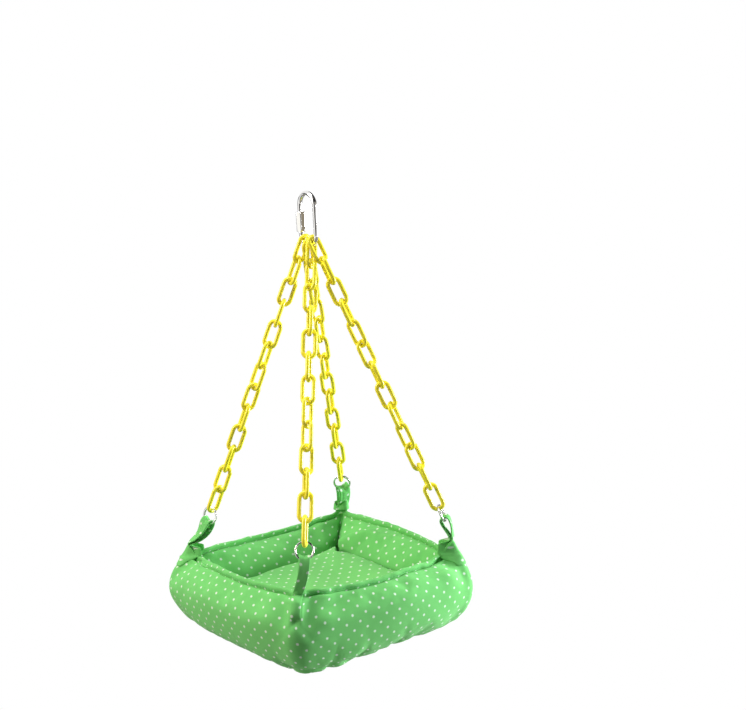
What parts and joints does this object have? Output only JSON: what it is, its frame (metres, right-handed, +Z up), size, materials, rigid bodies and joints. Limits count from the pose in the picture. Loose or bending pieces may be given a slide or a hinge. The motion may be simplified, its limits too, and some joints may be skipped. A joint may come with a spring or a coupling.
{
  "type": "hanging bird nest bed",
  "caption": "Open square bolster bed of dotted cotton with a loose floor cushion, hung on plastic chains from one steel quick link inside a bird cage.",
  "frame": {"origin": "inside top of the quick link, where the hook or cage wire bears", "axes": "+Z up along the plumb line, X and Y along the sides of the square bed, the sleeve nut on the +Y leg"},
  "size_m": [0.2262, 0.2262, 0.417],
  "materials": {
    "chain_plastic": "moulded plastic, satin gloss",
    "polished_steel": "polished steel",
    "cover_cotton": "woven cotton print, small pale dots",
    "cushion_cotton": "woven cotton print, small pale dots"
  },
  "bodies": {
    "quick_link": {"quick_link_body": "polished_steel"},
    "sleeve_nut": {"quick_link_nut": "polished_steel"},
    "nest": {"bed_cover": "cover_cotton", "chain_front_link_01": "chain_plastic", "chain_right_link_01": "chain_plastic", "chain_back_link_01": "chain_plastic", "chain_left_link_01": "chain_plastic"},
    "floor_cushion": {"floor_cushion": "cushion_cotton"},
    "ring_front": {"ring_front": "polished_steel"},
    "front_link_02": {"chain_front_link_02": "chain_plastic"},
    "front_link_03": {"chain_front_link_03": "chain_plastic"},
    "front_link_04": {"chain_front_link_04": "chain_plastic"},
    "front_link_05": {"chain_front_link_05": "chain_plastic"},
    "front_link_06": {"chain_front_link_06": "chain_plastic"},
    "front_link_07": {"chain_front_link_07": "chain_plastic"},
    "front_link_08": {"chain_front_link_08": "chain_plastic"},
    "front_link_09": {"chain_front_link_09": "chain_plastic"},
    "front_link_10": {"chain_front_link_10": "chain_plastic"},
    "front_link_11": {"chain_front_link_11": "chain_plastic"},
    "front_link_12": {"chain_front_link_12": "chain_plastic"},
    "front_link_13": {"chain_front_link_13": "chain_plastic"},
    "ring_right": {"ring_right": "polished_steel"},
    "right_link_02": {"chain_right_link_02": "chain_plastic"},
    "right_link_03": {"chain_right_link_03": "chain_plastic"},
    "right_link_04": {"chain_right_link_04": "chain_plastic"},
    "right_link_05": {"chain_right_link_05": "chain_plastic"},
    "right_link_06": {"chain_right_link_06": "chain_plastic"},
    "right_link_07": {"chain_right_link_07": "chain_plastic"},
    "right_link_08": {"chain_right_link_08": "chain_plastic"},
    "right_link_09": {"chain_right_link_09": "chain_plastic"},
    "right_link_10": {"chain_right_link_10": "chain_plastic"},
    "right_link_11": {"chain_right_link_11": "chain_plastic"},
    "right_link_12": {"chain_right_link_12": "chain_plastic"},
    "right_link_13": {"chain_right_link_13": "chain_plastic"},
    "ring_back": {"ring_back": "polished_steel"},
    "back_link_02": {"chain_back_link_02": "chain_plastic"},
    "back_link_03": {"chain_back_link_03": "chain_plastic"},
    "back_link_04": {"chain_back_link_04": "chain_plastic"},
    "back_link_05": {"chain_back_link_05": "chain_plastic"},
    "back_link_06": {"chain_back_link_06": "chain_plastic"},
    "back_link_07": {"chain_back_link_07": "chain_plastic"},
    "back_link_08": {"chain_back_link_08": "chain_plastic"},
    "back_link_09": {"chain_back_link_09": "chain_plastic"},
    "back_link_10": {"chain_back_link_10": "chain_plastic"},
    "back_link_11": {"chain_back_link_11": "chain_plastic"},
    "back_link_12": {"chain_back_link_12": "chain_plastic"},
    "back_link_13": {"chain_back_link_13": "chain_plastic"},
    "ring_left": {"ring_left": "polished_steel"},
    "left_link_02": {"chain_left_link_02": "chain_plastic"},
    "left_link_03": {"chain_left_link_03": "chain_plastic"},
    "left_link_04": {"chain_left_link_04": "chain_plastic"},
    "left_link_05": {"chain_left_link_05": "chain_plastic"},
    "left_link_06": {"chain_left_link_06": "chain_plastic"},
    "left_link_07": {"chain_left_link_07": "chain_plastic"},
    "left_link_08": {"chain_left_link_08": "chain_plastic"},
    "left_link_09": {"chain_left_link_09": "chain_plastic"},
    "left_link_10": {"chain_left_link_10": "chain_plastic"},
    "left_link_11": {"chain_left_link_11": "chain_plastic"},
    "left_link_12": {"chain_left_link_12": "chain_plastic"},
    "left_link_13": {"chain_left_link_13": "chain_plastic"}
  },
  "joints": [
    {"name": "nut_slide", "type": "slide", "parent": "quick_link", "child": "sleeve_nut", "axis": [0, 0, 1], "range_m": [0, 0.0075]},
    {"name": "nest_swing", "type": "hinge", "parent": "quick_link", "child": "nest", "pos_m": [0, 0, -0.0435], "axis": [0, 1, 0], "range_deg": [-18, 18]},
    {"name": "cushion_lift", "type": "slide", "parent": "nest", "child": "floor_cushion", "axis": [0, 0, 1], "range_m": [0, 0.065]},
    {"name": "ring_front_spin", "type": "hinge", "parent": "nest", "child": "ring_front", "pos_m": [-0.078, -0.078, -0.29899], "axis": [0.6508, 0.6508, -0.391], "continuous": true},
    {"name": "front_link_02_roll", "type": "hinge", "parent": "nest", "child": "front_link_02", "pos_m": [-0.00817, -0.01109, -0.0714], "axis": [0.2824, 0.2706, 0.9203], "range_deg": [-5, 5]},
    {"name": "front_link_03_roll", "type": "hinge", "parent": "nest", "child": "front_link_03", "pos_m": [-0.01407, -0.01675, -0.09065], "axis": [0.2824, 0.2706, 0.9203], "range_deg": [-10, 10]},
    {"name": "front_link_04_roll", "type": "hinge", "parent": "nest", "child": "front_link_04", "pos_m": [-0.01998, -0.02241, -0.1099], "axis": [0.2824, 0.2706, 0.9203], "range_deg": [-15, 15]},
    {"name": "front_link_05_roll", "type": "hinge", "parent": "nest", "child": "front_link_05", "pos_m": [-0.02589, -0.02807, -0.12915], "axis": [0.2824, 0.2706, 0.9203], "range_deg": [-20, 20]},
    {"name": "front_link_06_roll", "type": "hinge", "parent": "nest", "child": "front_link_06", "pos_m": [-0.03179, -0.03373, -0.1484], "axis": [0.2824, 0.2706, 0.9203], "range_deg": [-25, 25]},
    {"name": "front_link_07_roll", "type": "hinge", "parent": "nest", "child": "front_link_07", "pos_m": [-0.0377, -0.03939, -0.16766], "axis": [0.2824, 0.2706, 0.9203], "range_deg": [-30, 30]},
    {"name": "front_link_08_roll", "type": "hinge", "parent": "nest", "child": "front_link_08", "pos_m": [-0.04361, -0.04505, -0.18691], "axis": [0.2824, 0.2706, 0.9203], "range_deg": [-25.71, 25.71]},
    {"name": "front_link_09_roll", "type": "hinge", "parent": "nest", "child": "front_link_09", "pos_m": [-0.04952, -0.05071, -0.20616], "axis": [0.2824, 0.2706, 0.9203], "range_deg": [-21.43, 21.43]},
    {"name": "front_link_10_roll", "type": "hinge", "parent": "nest", "child": "front_link_10", "pos_m": [-0.05542, -0.05637, -0.22541], "axis": [0.2824, 0.2706, 0.9203], "range_deg": [-17.14, 17.14]},
    {"name": "front_link_11_roll", "type": "hinge", "parent": "nest", "child": "front_link_11", "pos_m": [-0.06133, -0.06203, -0.24466], "axis": [0.2824, 0.2706, 0.9203], "range_deg": [-12.86, 12.86]},
    {"name": "front_link_12_roll", "type": "hinge", "parent": "nest", "child": "front_link_12", "pos_m": [-0.06724, -0.06769, -0.26391], "axis": [0.2824, 0.2706, 0.9203], "range_deg": [-8.57, 8.57]},
    {"name": "front_link_13_roll", "type": "hinge", "parent": "nest", "child": "front_link_13", "pos_m": [-0.07314, -0.07335, -0.28316], "axis": [0.2824, 0.2706, 0.9203], "range_deg": [-4.29, 4.29]},
    {"name": "ring_right_spin", "type": "hinge", "parent": "nest", "child": "ring_right", "pos_m": [0.078, -0.078, -0.29899], "axis": [-0.6547, 0.6547, -0.3779], "continuous": true},
    {"name": "right_link_02_roll", "type": "hinge", "parent": "nest", "child": "right_link_02", "pos_m": [0.00768, -0.01511, -0.06823], "axis": [-0.282, 0.2523, 0.9256], "range_deg": [-5, 5]},
    {"name": "right_link_03_roll", "type": "hinge", "parent": "nest", "child": "right_link_03", "pos_m": [0.01364, -0.02044, -0.08776], "axis": [-0.282, 0.2523, 0.9256], "range_deg": [-10, 10]},
    {"name": "right_link_04_roll", "type": "hinge", "parent": "nest", "child": "right_link_04", "pos_m": [0.01959, -0.02576, -0.10729], "axis": [-0.282, 0.2523, 0.9256], "range_deg": [-15, 15]},
    {"name": "right_link_05_roll", "type": "hinge", "parent": "nest", "child": "right_link_05", "pos_m": [0.02554, -0.03108, -0.12682], "axis": [-0.282, 0.2523, 0.9256], "range_deg": [-20, 20]},
    {"name": "right_link_06_roll", "type": "hinge", "parent": "nest", "child": "right_link_06", "pos_m": [0.03149, -0.0364, -0.14636], "axis": [-0.282, 0.2523, 0.9256], "range_deg": [-25, 25]},
    {"name": "right_link_07_roll", "type": "hinge", "parent": "nest", "child": "right_link_07", "pos_m": [0.03744, -0.04173, -0.16589], "axis": [-0.282, 0.2523, 0.9256], "range_deg": [-30, 30]},
    {"name": "right_link_08_roll", "type": "hinge", "parent": "nest", "child": "right_link_08", "pos_m": [0.04339, -0.04705, -0.18542], "axis": [-0.282, 0.2523, 0.9256], "range_deg": [-25.71, 25.71]},
    {"name": "right_link_09_roll", "type": "hinge", "parent": "nest", "child": "right_link_09", "pos_m": [0.04934, -0.05237, -0.20495], "axis": [-0.282, 0.2523, 0.9256], "range_deg": [-21.43, 21.43]},
    {"name": "right_link_10_roll", "type": "hinge", "parent": "nest", "child": "right_link_10", "pos_m": [0.05529, -0.05769, -0.22448], "axis": [-0.282, 0.2523, 0.9256], "range_deg": [-17.14, 17.14]},
    {"name": "right_link_11_roll", "type": "hinge", "parent": "nest", "child": "right_link_11", "pos_m": [0.06125, -0.06302, -0.24401], "axis": [-0.282, 0.2523, 0.9256], "range_deg": [-12.86, 12.86]},
    {"name": "right_link_12_roll", "type": "hinge", "parent": "nest", "child": "right_link_12", "pos_m": [0.0672, -0.06834, -0.26354], "axis": [-0.282, 0.2523, 0.9256], "range_deg": [-8.57, 8.57]},
    {"name": "right_link_13_roll", "type": "hinge", "parent": "nest", "child": "right_link_13", "pos_m": [0.07315, -0.07366, -0.28307], "axis": [-0.282, 0.2523, 0.9256], "range_deg": [-4.29, 4.29]},
    {"name": "ring_back_spin", "type": "hinge", "parent": "nest", "child": "ring_back", "pos_m": [0.078, 0.078, -0.29899], "axis": [-0.6508, -0.6508, -0.391], "continuous": true},
    {"name": "back_link_02_roll", "type": "hinge", "parent": "nest", "child": "back_link_02", "pos_m": [0.00817, 0.01109, -0.0714], "axis": [-0.2824, -0.2706, 0.9203], "range_deg": [-5, 5]},
    {"name": "back_link_03_roll", "type": "hinge", "parent": "nest", "child": "back_link_03", "pos_m": [0.01407, 0.01675, -0.09065], "axis": [-0.2824, -0.2706, 0.9203], "range_deg": [-10, 10]},
    {"name": "back_link_04_roll", "type": "hinge", "parent": "nest", "child": "back_link_04", "pos_m": [0.01998, 0.02241, -0.1099], "axis": [-0.2824, -0.2706, 0.9203], "range_deg": [-15, 15]},
    {"name": "back_link_05_roll", "type": "hinge", "parent": "nest", "child": "back_link_05", "pos_m": [0.02589, 0.02807, -0.12915], "axis": [-0.2824, -0.2706, 0.9203], "range_deg": [-20, 20]},
    {"name": "back_link_06_roll", "type": "hinge", "parent": "nest", "child": "back_link_06", "pos_m": [0.03179, 0.03373, -0.1484], "axis": [-0.2824, -0.2706, 0.9203], "range_deg": [-25, 25]},
    {"name": "back_link_07_roll", "type": "hinge", "parent": "nest", "child": "back_link_07", "pos_m": [0.0377, 0.03939, -0.16766], "axis": [-0.2824, -0.2706, 0.9203], "range_deg": [-30, 30]},
    {"name": "back_link_08_roll", "type": "hinge", "parent": "nest", "child": "back_link_08", "pos_m": [0.04361, 0.04505, -0.18691], "axis": [-0.2824, -0.2706, 0.9203], "range_deg": [-25.71, 25.71]},
    {"name": "back_link_09_roll", "type": "hinge", "parent": "nest", "child": "back_link_09", "pos_m": [0.04952, 0.05071, -0.20616], "axis": [-0.2824, -0.2706, 0.9203], "range_deg": [-21.43, 21.43]},
    {"name": "back_link_10_roll", "type": "hinge", "parent": "nest", "child": "back_link_10", "pos_m": [0.05542, 0.05637, -0.22541], "axis": [-0.2824, -0.2706, 0.9203], "range_deg": [-17.14, 17.14]},
    {"name": "back_link_11_roll", "type": "hinge", "parent": "nest", "child": "back_link_11", "pos_m": [0.06133, 0.06203, -0.24466], "axis": [-0.2824, -0.2706, 0.9203], "range_deg": [-12.86, 12.86]},
    {"name": "back_link_12_roll", "type": "hinge", "parent": "nest", "child": "back_link_12", "pos_m": [0.06724, 0.06769, -0.26391], "axis": [-0.2824, -0.2706, 0.9203], "range_deg": [-8.57, 8.57]},
    {"name": "back_link_13_roll", "type": "hinge", "parent": "nest", "child": "back_link_13", "pos_m": [0.07314, 0.07335, -0.28316], "axis": [-0.2824, -0.2706, 0.9203], "range_deg": [-4.29, 4.29]},
    {"name": "ring_left_spin", "type": "hinge", "parent": "nest", "child": "ring_left", "pos_m": [-0.078, 0.078, -0.29899], "axis": [0.95, 0.2082, -0.2327], "continuous": true},
    {"name": "left_link_02_roll", "type": "hinge", "parent": "nest", "child": "left_link_02", "pos_m": [-0.00768, 0.01511, -0.06823], "axis": [0.282, -0.2523, 0.9256], "range_deg": [-5, 5]},
    {"name": "left_link_03_roll", "type": "hinge", "parent": "nest", "child": "left_link_03", "pos_m": [-0.01364, 0.02044, -0.08776], "axis": [0.282, -0.2523, 0.9256], "range_deg": [-10, 10]},
    {"name": "left_link_04_roll", "type": "hinge", "parent": "nest", "child": "left_link_04", "pos_m": [-0.01959, 0.02576, -0.10729], "axis": [0.282, -0.2523, 0.9256], "range_deg": [-15, 15]},
    {"name": "left_link_05_roll", "type": "hinge", "parent": "nest", "child": "left_link_05", "pos_m": [-0.02554, 0.03108, -0.12682], "axis": [0.282, -0.2523, 0.9256], "range_deg": [-20, 20]},
    {"name": "left_link_06_roll", "type": "hinge", "parent": "nest", "child": "left_link_06", "pos_m": [-0.03149, 0.0364, -0.14636], "axis": [0.282, -0.2523, 0.9256], "range_deg": [-25, 25]},
    {"name": "left_link_07_roll", "type": "hinge", "parent": "nest", "child": "left_link_07", "pos_m": [-0.03744, 0.04173, -0.16589], "axis": [0.282, -0.2523, 0.9256], "range_deg": [-30, 30]},
    {"name": "left_link_08_roll", "type": "hinge", "parent": "nest", "child": "left_link_08", "pos_m": [-0.04339, 0.04705, -0.18542], "axis": [0.282, -0.2523, 0.9256], "range_deg": [-25.71, 25.71]},
    {"name": "left_link_09_roll", "type": "hinge", "parent": "nest", "child": "left_link_09", "pos_m": [-0.04934, 0.05237, -0.20495], "axis": [0.282, -0.2523, 0.9256], "range_deg": [-21.43, 21.43]},
    {"name": "left_link_10_roll", "type": "hinge", "parent": "nest", "child": "left_link_10", "pos_m": [-0.05529, 0.05769, -0.22448], "axis": [0.282, -0.2523, 0.9256], "range_deg": [-17.14, 17.14]},
    {"name": "left_link_11_roll", "type": "hinge", "parent": "nest", "child": "left_link_11", "pos_m": [-0.06125, 0.06302, -0.24401], "axis": [0.282, -0.2523, 0.9256], "range_deg": [-12.86, 12.86]},
    {"name": "left_link_12_roll", "type": "hinge", "parent": "nest", "child": "left_link_12", "pos_m": [-0.0672, 0.06834, -0.26354], "axis": [0.282, -0.2523, 0.9256], "range_deg": [-8.57, 8.57]},
    {"name": "left_link_13_roll", "type": "hinge", "parent": "nest", "child": "left_link_13", "pos_m": [-0.07315, 0.07366, -0.28307], "axis": [0.282, -0.2523, 0.9256], "range_deg": [-4.29, 4.29]}
  ],
  "couplings": [
    {"joint": "front_link_02_roll", "follows": "front_link_07_roll", "ratio": 0.16667},
    {"joint": "front_link_03_roll", "follows": "front_link_07_roll", "ratio": 0.33333},
    {"joint": "front_link_04_roll", "follows": "front_link_07_roll", "ratio": 0.5},
    {"joint": "front_link_05_roll", "follows": "front_link_07_roll", "ratio": 0.66667},
    {"joint": "front_link_06_roll", "follows": "front_link_07_roll", "ratio": 0.83333},
    {"joint": "front_link_08_roll", "follows": "front_link_07_roll", "ratio": 0.85714},
    {"joint": "front_link_09_roll", "follows": "front_link_07_roll", "ratio": 0.71429},
    {"joint": "front_link_10_roll", "follows": "front_link_07_roll", "ratio": 0.57143},
    {"joint": "front_link_11_roll", "follows": "front_link_07_roll", "ratio": 0.42857},
    {"joint": "front_link_12_roll", "follows": "front_link_07_roll", "ratio": 0.28571},
    {"joint": "front_link_13_roll", "follows": "front_link_07_roll", "ratio": 0.14286},
    {"joint": "right_link_02_roll", "follows": "right_link_07_roll", "ratio": 0.16667},
    {"joint": "right_link_03_roll", "follows": "right_link_07_roll", "ratio": 0.33333},
    {"joint": "right_link_04_roll", "follows": "right_link_07_roll", "ratio": 0.5},
    {"joint": "right_link_05_roll", "follows": "right_link_07_roll", "ratio": 0.66667},
    {"joint": "right_link_06_roll", "follows": "right_link_07_roll", "ratio": 0.83333},
    {"joint": "right_link_08_roll", "follows": "right_link_07_roll", "ratio": 0.85714},
    {"joint": "right_link_09_roll", "follows": "right_link_07_roll", "ratio": 0.71429},
    {"joint": "right_link_10_roll", "follows": "right_link_07_roll", "ratio": 0.57143},
    {"joint": "right_link_11_roll", "follows": "right_link_07_roll", "ratio": 0.42857},
    {"joint": "right_link_12_roll", "follows": "right_link_07_roll", "ratio": 0.28571},
    {"joint": "right_link_13_roll", "follows": "right_link_07_roll", "ratio": 0.14286},
    {"joint": "back_link_02_roll", "follows": "back_link_07_roll", "ratio": 0.16667},
    {"joint": "back_link_03_roll", "follows": "back_link_07_roll", "ratio": 0.33333},
    {"joint": "back_link_04_roll", "follows": "back_link_07_roll", "ratio": 0.5},
    {"joint": "back_link_05_roll", "follows": "back_link_07_roll", "ratio": 0.66667},
    {"joint": "back_link_06_roll", "follows": "back_link_07_roll", "ratio": 0.83333},
    {"joint": "back_link_08_roll", "follows": "back_link_07_roll", "ratio": 0.85714},
    {"joint": "back_link_09_roll", "follows": "back_link_07_roll", "ratio": 0.71429},
    {"joint": "back_link_10_roll", "follows": "back_link_07_roll", "ratio": 0.57143},
    {"joint": "back_link_11_roll", "follows": "back_link_07_roll", "ratio": 0.42857},
    {"joint": "back_link_12_roll", "follows": "back_link_07_roll", "ratio": 0.28571},
    {"joint": "back_link_13_roll", "follows": "back_link_07_roll", "ratio": 0.14286},
    {"joint": "left_link_02_roll", "follows": "left_link_07_roll", "ratio": 0.16667},
    {"joint": "left_link_03_roll", "follows": "left_link_07_roll", "ratio": 0.33333},
    {"joint": "left_link_04_roll", "follows": "left_link_07_roll", "ratio": 0.5},
    {"joint": "left_link_05_roll", "follows": "left_link_07_roll", "ratio": 0.66667},
    {"joint": "left_link_06_roll", "follows": "left_link_07_roll", "ratio": 0.83333},
    {"joint": "left_link_08_roll", "follows": "left_link_07_roll", "ratio": 0.85714},
    {"joint": "left_link_09_roll", "follows": "left_link_07_roll", "ratio": 0.71429},
    {"joint": "left_link_10_roll", "follows": "left_link_07_roll", "ratio": 0.57143},
    {"joint": "left_link_11_roll", "follows": "left_link_07_roll", "ratio": 0.42857},
    {"joint": "left_link_12_roll", "follows": "left_link_07_roll", "ratio": 0.28571},
    {"joint": "left_link_13_roll", "follows": "left_link_07_roll", "ratio": 0.14286}
  ]
}
